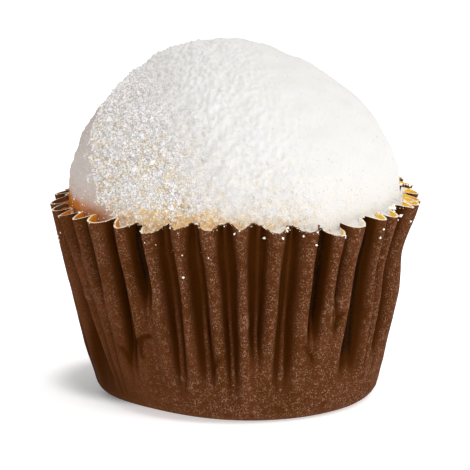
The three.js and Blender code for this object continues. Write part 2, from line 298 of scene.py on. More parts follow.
def hill(middle, reach, x):
    """1 at the middle, fading away to both sides over a reach."""
    return np.exp(-(((x - middle) / reach) ** 2))


def wrapped(angle):
    """The same angle, between half a turn one way and half a turn the other."""
    return np.arctan2(np.sin(angle), np.cos(angle))


def unit(vectors):
    return vectors / np.linalg.norm(vectors, axis=-1)[..., None]


def azimuth_of(points):
    """How far round each point lies, from the front towards the right."""
    return np.arctan2(points[..., 0], -points[..., 1])


def drawn(span, share):
    """A span's first value, with a share of its second added."""
    start, more = span
    return start + more * share


def chance(index, seed):
    """The same number from 0 to 1 each time for one pair of whole numbers."""
    x = sin(index * 12.9898 + seed * 78.233) * 43758.5453
    return x - np.floor(x)


def lumps(points, apart, seed):
    """A gentle random surface, about -1 to 1, whose lumps lie that far apart."""
    waves = 7
    total = 0
    for k in range(waves):
        up = 2 * chance(k, seed) - 1
        turn = 2 * pi * chance(k, seed + 1)
        flat = np.sqrt(1 - up * up)
        along = points @ np.array([flat * cos(turn), flat * sin(turn), up])
        total = total + np.sin(2 * pi * along / apart + 2 * pi * chance(k, seed + 2))
    return total / np.sqrt(waves / 2) / 2


def on_circle(radius, azimuth, height):
    """Points at a radius from the upright middle line, at an azimuth from the front."""
    azimuth = np.asarray(azimuth, float)
    x, y, z = np.broadcast_arrays(radius * np.sin(azimuth), -radius * np.cos(azimuth), height)
    return np.stack([x, y, z], axis=-1)


def turbulence(points, size, octaves=2, seed=0.0):
    """Smooth noise, about -1 to 1, at each point, with features of a size in millimetres."""
    shift = Vector((seed * 17.3, seed * -9.1, seed * 5.7))
    flat = points.reshape(-1, 3) / size
    values = [
        noise.fractal(Vector(p) + shift, 0.9, 2.1, octaves, noise_basis="PERLIN_ORIGINAL")
        for p in flat
    ]
    return np.array(values).reshape(points.shape[:-1])


# ---- The ball's form, as in its solid


def ball_radius(height):
    half = np.where(height > BALL_MIDDLE, UPPER_HALF, LOWER_HALF)
    share = (height - BALL_MIDDLE) / half
    held = BALL_HELD * ease(*HELD_FROM, -share) * (1 - LET_GO * ease(*LET_GO_FROM, -share))
    return BALL_WIDTH / 2 * np.sqrt(np.clip(1 - share * share, 0, 1)) * (1 - held)


def ball_swell(directions):
    rise = 0
    for at, up, reach, high in BALL_SWELLS:
        middle = on_circle(cos(radians(up)), radians(at), sin(radians(up)))
        angle = np.arccos(np.clip(directions @ middle, -1, 1))
        rise = rise + high * hill(0, radians(reach), angle)
    return rise


def ball_form(directions):
    """The ball's surface in each direction, without its powder."""
    z = directions[:, 2]
    height = BALL_MIDDLE + np.where(z > 0, UPPER_HALF, LOWER_HALF) * z
    across = np.maximum(np.hypot(directions[:, 0], directions[:, 1]), TINY)
    radius = ball_radius(height) / across
    points = np.stack([directions[:, 0] * radius, directions[:, 1] * radius, height], axis=-1)
    rise = ball_swell(directions)
    for k, (apart, high) in enumerate(BALL_LUMPS):
        rise = rise + high * lumps(points, apart, 10 * k + 1)
    free = FREE_BELOW + (1 - FREE_BELOW) * ease(*FREE_FROM, z)
    points = points + directions * (rise * free)[:, None]
    points[:, 0] -= BALL_ASIDE + BALL_LEAN * np.clip(z, 0, 1) ** 2
    points[:, 2] = np.maximum(points[:, 2], BALL_FLOOR)
    return points


# ---- The case's form, as in its solid


def all_pleats():
    """The seen pleats and then those at the back, with two values by chance for each."""
    first = SEEN_PLEATS[0][0]
    last = SEEN_PLEATS[-1][0]
    hidden = PLEATS - len(SEEN_PLEATS)
    step = (360 + first - last) / (hidden + 1)
    pleats = list(SEEN_PLEATS)
    for k in range(1, hidden + 1):
        at = last + k * step + step * drawn(HIDDEN_STRAY, chance(k, 3))
        drift = drawn(HIDDEN_DRIFT, chance(k, 7))
        half = drawn(HIDDEN_HALF, chance(k, 8))
        rim = RIM_TILT * sin(radians(at)) + drawn(HIDDEN_RIM, chance(k, 4))
        pleats.append((at, drift, half, rim, drawn(HIDDEN_FLAT, chance(k, 5) ** 2)))
    chances = [(chance(k, 6) - 0.5, chance(k, 9)) for k in range(PLEATS)]
    return np.concatenate([pleats, chances], axis=1)


PLEAT_TABLE = all_pleats()


def pleat_at(place, share):
    """The pleats at a share of the wall's height, at places counted in ridges round the case."""
    before = np.floor(place).astype(int)
    wave = place - before
    here = PLEAT_TABLE[before % PLEATS].T
    after = PLEAT_TABLE[(before + 1) % PLEATS].T
    start = here[0] + here[1] * (1 - share)
    end = after[0] + after[1] * (1 - share) + np.where(before + 1 >= PLEATS, 360, 0)
    spread = 1 + (RIDGE_SPREAD - 1) * ease(SPREAD_FROM, 1, share)
    taken = spread * (here[2] + after[2]) / (end - start)
    fitted = spread * np.minimum(1, MOST_RIDGE / taken) / (end - start)
    left = fitted * here[2]
    right = fitted * after[2]
    # The first and the last quarter of the way are the two ridges' halves, as wide as the table
    # says, and the fold takes up what is left.
    across = left + (1 - left - right) * (2 * wave - 0.5)
    across = np.where(wave < 0.25, 4 * wave * left, across)
    across = np.where(wave > 0.75, 1 - 4 * (1 - wave) * right, across)
    mix = lambda column: here[column] + (after[column] - here[column]) * ease(0.25, 0.75, wave)
    squared = lambda height: np.tanh(PLEAT_SQUARENESS * height)
    middle = MIDDLE_RIDGE * hill(0.5, MIDDLE_REACH, wave)
    return {
        "azimuth": np.radians(start + (end - start) * across),
        "rim": mix(3),
        "lean": mix(5),
        "flat": here[4],
        "fold": 0.5 - squared(np.cos(2 * pi * wave)) / squared(1) / 2 - middle,
        "middle": middle / MIDDLE_RIDGE,
        "phase": mix(6),
        "side": np.sin(2 * pi * wave),
    }


def lift(azimuth):
    return BASE_LIFT * hill(0, LIFT_REACH, wrapped(azimuth - LIFT_AT))


def ridge_radius(height, azimuth):
    left = np.clip(-np.sin(azimuth), 0, 1) ** 2
    right = np.clip(np.sin(azimuth), 0, 1) ** 4
    bulge = WALL_BULGE * left * ease(BEND_TOP, BULGE_FROM, height)
    pinch = WALL_PINCH * right * hill(PINCH_HEIGHT, PINCH_REACH, height)
    return BEND_RADIUS + WALL_SLOPE * (height - BEND_TOP) + bulge - pinch


def wall_form(place, share):
    """The paper's middle surface. share runs from 0 at the top of the bend to 1 at the rim."""
    pleat = pleat_at(place, share)
    around = np.degrees(pleat["azimuth"])
    dip = FRONT_DIP * ease(*DIP_LEFT, around) * ease(*DIP_RIGHT, around)
    rim = RIM_HEIGHT + pleat["rim"] + FOLD_RISE * pleat["fold"] - dip
    height = BEND_TOP + (rim - BEND_TOP) * share
    pressed = ease(pleat["flat"] - PRESS_FADE, pleat["flat"] + PRESS_FADE, height)
    grown = ease(0, FULL_DEPTH_AT, height)
    least = lambda factor: LEAST_DEPTH + (1 - LEAST_DEPTH) * factor
    depth = FOLD_DEPTH * least(pressed) * least(grown)
    inner = ball_radius(height) - BALL_ASIDE * np.sin(pleat["azimuth"]) + BALL_GAP
    over = ridge_radius(height, pleat["azimuth"]) - depth * pleat["fold"] - inner
    radius = inner + (over + np.sqrt(over**2 + GAP_SOFTNESS**2)) / 2
    azimuth = pleat["azimuth"] + pleat["lean"] * depth * PLEAT_LEAN * pleat["side"] / radius
    wander = np.sin(2 * pi * (height / WANDER_EVERY + pleat["phase"]))
    azimuth = azimuth + WANDER / radius * wander * ease(*WANDER_FROM, height)
    return on_circle(radius, azimuth, height + lift(azimuth) * (1 - share) + PAPER / 2)


# ---- Making pieces


def new_object(name, data):
    thing = bpy.data.objects.new(name, data)
    bpy.context.scene.collection.objects.link(thing)
    return thing


def mesh_piece(name, points, faces, materials, slot, face_material=None, **attributes):
    """A piece that rides on the case, from points in millimetres."""
    mesh = bpy.data.meshes.new(name)
    mesh.from_pydata((np.asarray(points) * MM).tolist(), [], [list(face) for face in faces])
    for material in materials:
        mesh.materials.append(material)
    if face_material is not None:
        mesh.polygons.foreach_set("material_index", face_material.astype(np.int32))
    for label, values in attributes.items():
        mesh.attributes.new(label, "FLOAT", "POINT").data.foreach_set("value", values)
    mesh.polygons.foreach_set("use_smooth", np.ones(len(mesh.polygons), bool))
    mesh.update()
    piece = new_object(name, mesh)
    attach(piece, "root")
    return piece


def add_node(tree, kind, inputs=(), **settings):
    """A shader node, with its settings, and its inputs as values or as links."""
    node = tree.nodes.new(kind)
    for key, value in settings.items():
        setattr(node, key, value)
    for key, value in dict(inputs).items():
        if isinstance(value, bpy.types.NodeSocket):
            tree.links.new(value, node.inputs[key])
        else:
            node.inputs[key].default_value = value
    return node


def shader(name, **sockets):
    """A new material, its tree of nodes and its surface, with values for its sockets."""
    material = bpy.data.materials.new(name)
    material.use_nodes = True
    tree = material.node_tree
    surface = tree.nodes["Principled BSDF"]
    for key, value in sockets.items():
        surface.inputs[key.replace("_", " ")].default_value = value
    return material, tree, surface


def grain(tree, size, detail=2.0, roughness=0.5):
    """Noise with features of a size in millimetres."""
    place = add_node(tree, "ShaderNodeTexCoord").outputs["Object"]
    scale = 1 / (size * MM)
    inputs = {"Vector": place, "Scale": scale, "Detail": detail, "Roughness": roughness}
    return add_node(tree, "ShaderNodeTexNoise", inputs).outputs["Fac"]


def cells(tree, size, feature, output):
    """Packed cells of a size in millimetres."""
    place = add_node(tree, "ShaderNodeTexCoord").outputs["Object"]
    inputs = {"Vector": place, "Scale": 1 / (size * MM)}
    return add_node(tree, "ShaderNodeTexVoronoi", inputs, feature=feature).outputs[output]


def between(tree, factor, low, high):
    """0 where the factor is low, 1 where it is high."""
    inputs = {"Value": factor, "From Min": low, "From Max": high}
    kind = "ShaderNodeMapRange"
    return add_node(tree, kind, inputs, interpolation_type="SMOOTHSTEP").outputs["Result"]


def mix_colour(tree, factor, first, second, blend_type="MIX"):
    """From the first colour to the second. The node's colours are its sockets 6, 7 and 2."""
    inputs = {0: factor, 6: first, 7: second}
    kind = "ShaderNodeMix"
    return add_node(tree, kind, inputs, data_type="RGBA", blend_type=blend_type).outputs[2]


def attribute(tree, label):
    """A value that the piece holds at each of its points."""
    return add_node(tree, "ShaderNodeAttribute", attribute_name=label).outputs["Fac"]


def maths(tree, operation, *inputs):
    inputs = dict(enumerate(inputs))
    return add_node(tree, "ShaderNodeMath", inputs, operation=operation).outputs[0]


def times(tree, first, second):
    return maths(tree, "MULTIPLY", first, second)


def paint(tree, surface, colour):
    tree.links.new(colour, surface.inputs["Base Color"])


def bump(tree, surface, height, distance, strength=1.0):
    inputs = {"Height": height, "Distance": distance * MM, "Strength": strength}
    normal = add_node(tree, "ShaderNodeBump", inputs).outputs["Normal"]
    tree.links.new(normal, surface.inputs["Normal"])


# ---- Materials

POWDER_WHITE = (0.75, 0.742, 0.73, 1)
GRAIN_WHITE = (0.985, 0.975, 0.99, 1)
POWDER_CREAM = (0.87, 0.745, 0.535, 1)
POWDER_SHADE_GREY = (0.585, 0.50, 0.465, 1)
POWDER_GLOW = (1.0, 0.93, 0.87, 1)
GRAIN_SHADE = (0.52, 0.48, 0.435, 1)
SWEET_TAN = (0.62, 0.47, 0.33, 1)
AMBER_REFLECTION = (0.56, 0.17, 0.016, 1)
SWEET_GOLD = (0.76, 0.47, 0.11, 1)
PAPER_DARK = (0.050, 0.0125, 0.0, 1)
PAPER_DEEP_SHADE = (0.008, 0.003, 0.0006, 1)
PAPER_BROWN = (0.097, 0.029, 0.006, 1)
PAPER_RED = (0.120, 0.037, 0.012, 1)
PAPER_SPECK_HIGHLIGHT = (0.42, 0.24, 0.155, 1)
GOLD_BRIGHT = (1.0, 0.62, 0.03, 1)
GOLD_DEEP = (0.70, 0.25, 0.01, 1)
GOLD_SHADE = (0.17, 0.075, 0.03, 1)
CUT_CREAM = (1.0, 0.82, 0.56, 1)
CRUMB_WHITE = (1.0, 0.95, 0.86, 1)
COAT_CELL = 0.24  # width of the grains that the coat's surface shows


def stained_powder(tree, tone, darker):
    """The powder's colour, with cream stains and darker specks where it lies thin.

    The specks are painted shade, and the whiter powder where it lies thin or loose is painted
    light.
    """
    thin = attribute(tree, "thin")
    # Painted light: whiter where the powder lies thin or loose, to lift its shade.
    pale = maths(tree, "MAXIMUM", thin, times(tree, attribute(tree, "loose"), 0.22))
    white = mix_colour(tree, pale, POWDER_WHITE, GRAIN_WHITE)
    patch = maths(tree, "ADD", grain(tree, 0.9), grain(tree, 0.4))
    patch = maths(tree, "MULTIPLY_ADD", tone, 0.35, patch)
    patch = between(tree, patch, 1.12, 1.38)
    amount = maths(tree, "MULTIPLY_ADD", attribute(tree, "cream"), 0.8, 0.12)
    amount = times(tree, patch, amount)
    amount = maths(tree, "MULTIPLY_ADD", attribute(tree, "gilt"), 0.5, amount)
    stained = mix_colour(tree, amount, white, POWDER_CREAM)
    # Painted shade: darker specks and gaps, multiplied in from GRAIN_SHADE.
    return mix_colour(tree, darker, stained, GRAIN_SHADE, "MULTIPLY")


def powder(name):
    """A material that glows a little: painted light that lifts the powder's shade."""
    material, tree, surface = shader(
        name, Roughness=0.95, Specular_IOR_Level=0.1, Emission_Color=POWDER_GLOW
    )
    # Painted glow, a little stronger on the gold flecks low on the front.
    glow = maths(tree, "MULTIPLY_ADD", attribute(tree, "gilt"), 0.05, 0.06)
    tree.links.new(glow, surface.inputs["Emission Strength"])
    return material, tree, surface


def powder_coat():
    """The coat on the ball: grains of white powder, with painted shade in the gaps between them.
    """
    material, tree, surface = powder("powder_coat")
    thin = attribute(tree, "thin")
    tone = cells(tree, COAT_CELL, "F1", "Color")
    edge = cells(tree, COAT_CELL, "DISTANCE_TO_EDGE", "Distance")
    # Painted shade in the gaps between grains, where the powder lies thin.
    gap_shade = times(tree, between(tree, edge, 0.14, 0.02), thin)
    white = stained_powder(tree, tone, gap_shade)
    rare = between(tree, grain(tree, 0.5, detail=3), 0.62, 0.72)
    rare = times(tree, rare, thin)
    tan = mix_colour(tree, rare, white, SWEET_TAN)
    gilt = attribute(tree, "gilt")
    flecks = grain(tree, 0.3, roughness=0.6)
    flecks = maths(tree, "MULTIPLY_ADD", gilt, 0.25, flecks)
    flecks = times(tree, between(tree, flecks, 0.62, 0.74), gilt)
    golden = mix_colour(tree, flecks, tan, SWEET_GOLD)
    # Painted shade: the smooth side at the far left is painted grey.
    smooth = mix_colour(tree, attribute(tree, "smooth_and_shaded"), golden, POWDER_SHADE_GREY)
    # Painted reflection: amber low on the left by the rim, which also glows amber.
    painted_low_left = attribute(tree, "painted_low_left")
    colour = mix_colour(tree, painted_low_left, smooth, AMBER_REFLECTION)
    paint(tree, surface, colour)
    glow = mix_colour(tree, painted_low_left, POWDER_GLOW, AMBER_REFLECTION)
    tree.links.new(glow, surface.inputs["Emission Color"])
    rough = maths(tree, "MULTIPLY_ADD", thin, 0.9, 0.1)
    bump(tree, surface, between(tree, edge, 0.0, 0.25), 0.06, rough)
    return material


def powder_grains():
    """Loose grains: white, and darker, as painted shade, or golden here and there."""
    material, tree, surface = powder("powder_grains")
    white = stained_powder(tree, attribute(tree, "tone"), attribute(tree, "shade"))
    gold = mix_colour(tree, attribute(tree, "golden"), white, SWEET_GOLD)
    paint(tree, surface, gold)
    return material


def crumb_powder():
    """Crumbs of milk powder, which glow a little: painted light that keeps them bright."""
    material, tree, surface = shader(
        "crumb_powder",
        Roughness=0.8,
        Base_Color=CRUMB_WHITE,
        Emission_Color=CRUMB_WHITE,
        Emission_Strength=0.22,
    )
    bump(tree, surface, grain(tree, 0.06), 0.02)
    return material


def brown_paper():
    """The case's outside: matt brown paper with a dense, tiny speckle that is partly painted
    highlight on the ridges, and painted shade that makes it darkest in its folds.
    """
    material, tree, surface = shader("brown_paper", Roughness=0.8, Specular_IOR_Level=0.03)
    fold = attribute(tree, "fold")
    worn = between(tree, grain(tree, 3.0, detail=3), 0.35, 0.7)
    brown = mix_colour(tree, worn, PAPER_BROWN, PAPER_RED)
    # Painted shade: darker in the folds, and darkest in the darkest ones.
    dark = mix_colour(tree, between(tree, fold, 0.05, 0.75), brown, PAPER_DARK)
    dark = mix_colour(tree, between(tree, fold, 0.8, 1.8), dark, PAPER_DEEP_SHADE)
    # Creases: painted shade in their dents, painted highlight specks where raised.
    scuff = attribute(tree, "scuff")
    dark = mix_colour(tree, between(tree, scuff, -0.1, -0.8), dark, PAPER_DARK)
    specks = grain(tree, 0.15, roughness=0.8)
    specks = maths(tree, "ADD", specks, times(tree, scuff, 0.12))
    specks = between(tree, specks, 0.52, 0.64)
    thick = between(tree, grain(tree, 0.6, detail=3), 0.36, 0.6)
    # Light specks: paper grain, and painted highlight on the ridges only, fewer on the left.
    shown = between(tree, fold, 0.5, 0.0)
    shown = times(tree, shown, attribute(tree, "speckled"))
    specks = times(tree, times(tree, specks, thick), shown)
    pits = between(tree, grain(tree, 0.2, roughness=0.7), 0.46, 0.36)
    dark = mix_colour(tree, times(tree, pits, 0.6), dark, PAPER_DARK)
    light = mix_colour(tree, times(tree, specks, 0.7), dark, PAPER_SPECK_HIGHLIGHT)
    paint(tree, surface, light)
    bump(tree, surface, grain(tree, 0.2, detail=3, roughness=0.65), 0.1)
    return material


def gold_lining():
    """The case's inside: a gold foil finish on paper, stained and dusted with powder, with
    painted shade that makes the gold deeper on the left and dark far round on the left.
    """
    material, tree, surface = shader("gold_lining", Roughness=0.4, Metallic=0.15)
    left = attribute(tree, "left")
    # Painted shade: the gold is deeper on the left.
    stain_and_shade = maths(tree, "MULTIPLY_ADD", left, 0.3, grain(tree, 1.2, detail=3))
    colour = mix_colour(tree, between(tree, stain_and_shade, 0.5, 0.75), GOLD_BRIGHT, GOLD_DEEP)
    colour = mix_colour(tree, attribute(tree, "shaded"), colour, GOLD_SHADE)
    in_folds = times(tree, attribute(tree, "fold"), 0.3)
    dust = maths(tree, "ADD", grain(tree, 0.7, detail=3), in_folds)
    dust = maths(tree, "SUBTRACT", dust, times(tree, left, 0.2))
    dusted = mix_colour(tree, between(tree, dust, 0.70, 0.78), colour, GRAIN_WHITE)
    paint(tree, surface, dusted)
    bump(tree, surface, grain(tree, 0.25), 0.04)
    return material


def cut_edge():
    """The paper's cut edge, dusted with powder."""
    material, tree, surface = shader("cut_edge", Roughness=0.9, Specular_IOR_Level=0.1)
    dust = between(tree, grain(tree, 0.5), 0.45, 0.7)
    pale = mix_colour(tree, dust, CUT_CREAM, POWDER_WHITE)
    dusty = times(tree, attribute(tree, "dusty"), 0.26)
    worn = between(tree, maths(tree, "SUBTRACT", grain(tree, 0.6), dusty), 0.36, 0.54)
    colour = mix_colour(tree, worn, pale, PAPER_RED)
    paint(tree, surface, colour)
    return material


# ---- The ball's piece


def cube_sphere(count):
    """Directions spread evenly over a sphere, and four-sided faces between them."""
    steps = np.tan(np.linspace(-pi / 4, pi / 4, count + 1))
    a, b = np.meshgrid(steps, steps, indexing="ij")
    one = np.ones_like(a)
    sides = [(a, b, one), (b, a, -one), (one, a, b), (-one, b, a), (b, one, a), (a, -one, b)]
    points = unit(np.concatenate([np.stack(side, axis=-1).reshape(-1, 3) for side in sides]))
    _, first, where = np.unique(
        np.round(points, 6), axis=0, return_index=True, return_inverse=True
    )
    row = np.arange(count)
    corner = (row[:, None] * (count + 1) + row[None, :]).ravel()
    square = np.stack([corner, corner + count + 1, corner + count + 2, corner + 1], axis=-1)
    faces = np.concatenate([square + k * (count + 1) ** 2 for k in range(len(sides))])
    return points[first], where.ravel()[faces]


def crowd_upwards(directions):
    """The same directions drawn towards the top, where the surface shows."""
    z = directions[:, 2]
    new_z = z + CROWDING * (1 - z * z)
    across = np.sqrt(np.clip(1 - new_z**2, 0, 1))
    old = np.maximum(np.sqrt(np.clip(1 - z * z, 0, 1)), TINY)
    scale = across / old
    return np.stack([directions[:, 0] * scale, directions[:, 1] * scale, new_z], axis=-1)


def ball_wear(points, directions):
    """What the powder's materials, relief and grains go by at each point of the ball.

    thin and loose say how the powder lies, cream where it is stained, and gilt where gold flecks
    do. The others mark the smooth side, which is painted grey at the far left as painted shade,
    and where an amber painted reflection of the gold case lies low on the left.
    """
    azimuth = np.degrees(azimuth_of(points))
    height = points[:, 2]
    side = -directions[:, 0] - LOW_COUNTS * directions[:, 2]
    ragged = 0.8 * lumps(points, 2.3, 71) + 0.5 * lumps(points, 1.1, 75)

    low = 0.45 * hill(*THIN_LOW_AT, azimuth) * ease(*THIN_LOW_FROM, height)
    front = ease(*THIN_FRONT, directions[:, 1])
    thin = np.maximum(0.92 * ease(*THIN_SIDE, side) * front, low)
    thin = np.clip(thin * (0.95 + 0.15 * lumps(points, 4.0, 81)), 0, 1)
    loose = np.maximum(thin, 1.15 * ease(*LOOSE_SIDE, side))
    cream = thin * (0.2 + 0.8 * ease(*CREAM_FROM, height))

    edge = SMOOTH_EDGE - SMOOTH_EDGE_LEAN * (height - SMOOTH_EDGE_HEIGHT)
    edge = edge + 5 * ragged
    left = ease(edge + 10, edge - 8, azimuth) * ease(*BACK_FADE, azimuth)
    # An amber painted reflection of the gold case, low on the left by the rim.
    low_down = ease(*REFLECTION_FROM, height + 0.3 * ragged)
    painted_low_left = left * low_down * (0.8 + 0.2 * ease(-60, -76, azimuth))
    painted_low_left = np.maximum(painted_low_left, 0.16 * left * ease(*HAZE_FROM, height))
    # The smooth side, which is also painted grey at the far left as painted shade.
    smooth_and_shaded = np.maximum(low_down * left, 0.85 * (left * ease(*SMOOTH_FROM, height)))

    gilt = 0.08 + 0.92 * hill(*GILT_AT, azimuth)
    gilt = gilt * ease(*GILT_FROM, height + 0.7 * ragged)
    return dict(thin=thin, loose=loose, painted_low_left=painted_low_left, gilt=gilt, smooth_and_shaded=smooth_and_shaded, cream=cream)


def powder_relief(points, wear):
    """How far the powder stands out of the ball's form."""
    relief = sum(high * turbulence(points, size, seed=seed) for size, high, seed in RELIEF)
    relief = relief * (RELIEF_LEAST + wear["loose"]) - THIN_DIP * wear["thin"]
    return relief * (1 - SMOOTH_LOSS * wear["smooth_and_shaded"])


def make_ball(coat):
    directions, faces = cube_sphere(BALL_CELLS)
    directions = crowd_upwards(directions)
    points = ball_form(directions)
    wear = ball_wear(points, directions)
    shown = ease(*RELIEF_FROM, points[:, 2])
    points = points + directions * (powder_relief(points, wear) * shown)[:, None]
    ball = mesh_piece("milk_ball", points, faces, [coat], "milk_powder", **wear)
    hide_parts("brigadeiro_ball")


# ---- Loose powder

OCTAHEDRON = np.array(
    [(1, 0, 0), (-1, 0, 0), (0, 1, 0), (0, -1, 0), (0, 0, 1), (0, 0, -1)], float
)
OCTAHEDRON_FACES = np.array(
    [(0, 2, 4), (2, 1, 4), (1, 3, 4), (3, 0, 4), (2, 0, 5), (1, 2, 5), (3, 1, 5), (0, 3, 5)]
)


def random_turns(count):
    """That many rotation matrices."""
    w, x, y, z = unit(rng.normal(size=(count, 4))).T
    rows = [
        [1 - 2 * (y * y + z * z), 2 * (x * y - z * w), 2 * (x * z + y * w)],
        [2 * (x * y + z * w), 1 - 2 * (x * x + z * z), 2 * (y * z - x * w)],
        [2 * (x * z - y * w), 2 * (y * z + x * w), 1 - 2 * (x * x + y * y)],
    ]
    return np.array(rows).transpose(2, 0, 1)


def make_grains(name, centres, radii, material, **tints):
    """One piece of many small angular grains, with a value of each tint for each grain."""
    count = len(centres)
    corners = len(OCTAHEDRON)
    shapes = OCTAHEDRON[None] * rng.uniform(*CORNER_REACH, (count, corners, 1))
    stretch = rng.uniform(*GRAIN_STRETCH, (count, 1, 3))
    shapes = shapes * stretch * np.asarray(radii)[:, None, None]
    shapes = np.einsum("nij,nkj->nki", random_turns(count), shapes) + centres[:, None]
    faces = OCTAHEDRON_FACES[None] + corners * np.arange(count)[:, None, None]
    points = shapes.reshape(-1, 3)
    tints = {label: np.repeat(values, corners) for label, values in tints.items()}
    piece = mesh_piece(name, points, faces.reshape(-1, 3), [material], "milk_powder", **tints)
    flat = np.zeros(len(piece.data.polygons), bool)
    piece.data.polygons.foreach_set("use_smooth", flat)


def dome_directions(count):
    """Random directions from DOME_LOWEST to the ball's top."""
    z = rng.uniform(DOME_LOWEST, 1, count)
    turn = rng.uniform(0, 2 * pi, count)
    across = np.sqrt(1 - z * z)
    return np.stack([across * np.cos(turn), across * np.sin(turn), z], axis=-1)


def make_coat_grains(name, count, small, large, sunk, material):
    """Loose grains on the ball: most where the coat is worn, and none where it is smooth."""
    directions = dome_directions(count)
    points = ball_form(directions)
    wear = ball_wear(points, directions)
    keep = rng.uniform(size=count) > ease(*GRAINS_END, wear["smooth_and_shaded"]) - 0.05 * wear["painted_low_left"]
    share = sum((more * wear[label] for label, more in GRAIN_SHARES.items()), GRAIN_LEAST)
    keep &= rng.uniform(size=count) < share
    directions, points = directions[keep], points[keep]
    wear = {label: values[keep] for label, values in wear.items()}
    thin = wear["thin"]
    radii = small + (large - small) * rng.uniform(size=len(points)) ** 2
    radii = radii * (0.65 + 0.35 * thin)
    stand = radii * (rng.uniform(*GRAIN_STAND, len(points)) - sunk)
    centres = points + directions * (powder_relief(points, wear) + stand)[:, None]
    tone, shade, shaded, gilded = rng.uniform(size=(4, len(points)))
    # Painted shade: some grains on thin powder are darker.
    shade = shade * (0.2 + 0.8 * thin) * (shaded < SHADED_GRAINS * thin)
    golden = (gilded < GOLDEN_GRAINS * wear["gilt"]).astype(float)
    tints = {label: wear[label] for label in ("thin", "loose", "gilt", "cream")}
    tints |= {"tone": tone, "shade": shade, "golden": golden}
    make_grains(name, centres, radii, material, **tints)


# ---- The case's piece


OUTSIDE, INSIDE, EDGE = range(3)  # the places of the case's materials


def all_creases():
    """The creases that show, and more of them at the back."""
    creases = list(CREASES)
    for k in range(HIDDEN_CREASES):
        creases.append([drawn(span, chance(k, 31 + n)) for n, span in enumerate(HIDDEN_CREASE)])
    return creases


def creased(azimuth, height):
    """How far creases and crumples move the paper outwards."""
    out = 0
    for at, middle, length, tilt, high in all_creases():
        along = wrapped(azimuth - radians(at)) * BEND_RADIUS
        rise = height - middle
        turn = radians(tilt)
        far = (along * cos(turn) + rise * sin(turn)) / length
        near = rise * cos(turn) - along * sin(turn) + CREASE_BEND * length * far**2
        out = out + high * np.exp(-(far**4)) * hill(0, CREASE_WIDTH, near)
    return out


def leftness(azimuth):
    """1 on the case's left side, fading to 0 at its front and back."""
    return ease(radians(75), radians(25), np.abs(wrapped(azimuth + radians(100))))


def paper_normals(lines):
    across = np.roll(lines, -1, axis=0) - np.roll(lines, 1, axis=0)
    return unit(np.cross(across, np.gradient(lines, axis=1)))


def paper_lines(place):
    """The paper's middle surface at places round the case, from the base's middle to the rim."""
    azimuth = pleat_at(place, 0)["azimuth"]
    up = lift(azimuth)
    radii = [*BASE_RADII, BASE_FLAT - FLAT_INSET - LIFT_PULLS * up]
    rows = [on_circle(radius, azimuth, PAPER / 2) for radius in radii]
    for angle in np.linspace(0, pi / 2 - WALL_ANGLE, BEND_ROWS + 1)[:-1]:
        radius = BASE_FLAT + BASE_ROUNDING * sin(angle)
        height = BASE_ROUNDING * (1 - cos(angle)) + up + PAPER / 2
        rows.append(on_circle(radius, azimuth, height))
    for share in np.linspace(0, 1, WALL_ROWS):
        rows.append(wall_form(place, share))
    return np.stack(rows, axis=1)


def fold_shade(azimuth, height):
    """How much darker the paper is painted in the darkest folds: painted shade."""
    shade = 0
    for at, drift, low, reach, darker in SHADED_FOLDS:
        off = azimuth - radians(at) - radians(drift) * (1 - height / RIM_HEIGHT)
        off = wrapped(off) / radians(reach)
        fade = ease(low - DARK_FADE, low + DARK_FADE, height)
        shade = shade + darker * np.exp(-(off**4)) * fade
    return shade


def paper_sheet():
    """The case's paper, column by column: its outer and inner points, normals and looks."""
    place = np.arange(PLEATS * COLUMNS_PER_PLEAT) / COLUMNS_PER_PLEAT
    lines = paper_lines(place)
    normals = paper_normals(lines)
    height = lines[..., 2]
    around = azimuth_of(lines)
    free = ease(*RUMPLE_FROM, height) * (1 - RUMPLE_LOST * ease(*RUMPLE_EASES, height))
    crumpled = creased(around, height)
    rumple = RUMPLE * turbulence(lines, RUMPLE_SIZE, 3, 5) + crumpled
    lines = lines + normals * (rumple * free)[..., None]
    normals = paper_normals(lines)
    outer = lines + normals * (PAPER / 2)

    # The fold value below is painted shade for the paper's colour.
    shade = fold_shade(around, height)
    pleat = pleat_at(place, 0)
    flat, middle, fold = (pleat[label][:, None] for label in ("flat", "middle", "fold"))
    pressed = ease(flat - 3, flat + 3, height)
    # Painted light: folds are painted less dark where their lesser ridge stands.
    lit_strip = middle * (0.4 + 0.3 * ease(14, 8, height)) * np.clip(1 - shade, 0, 1)
    fold = fold * (1 - lit_strip) * (0.3 + 0.7 * pressed) * ease(1, 7, height)
    # Painted shade low on the case's left side.
    low_left_shade = leftness(around) * ease(9, 3, height)
    return {
        "outer": outer,
        "inner": outer - normals * PAPER,
        "normals": normals,
        "fold": np.clip(fold, 0, 1) * (1 + shade) + 0.6 * low_left_shade,
        "scuff": crumpled * 10,
    }


def ring_faces(columns, rows):
    """Four-sided faces between columns of points that stand in a ring."""
    column, row = np.meshgrid(np.arange(columns), np.arange(rows - 1), indexing="ij")
    here = (column * rows + row).ravel()
    after = ((column + 1) % columns * rows + row).ravel()
    return np.stack([here, after, after + 1, here + 1], axis=-1)


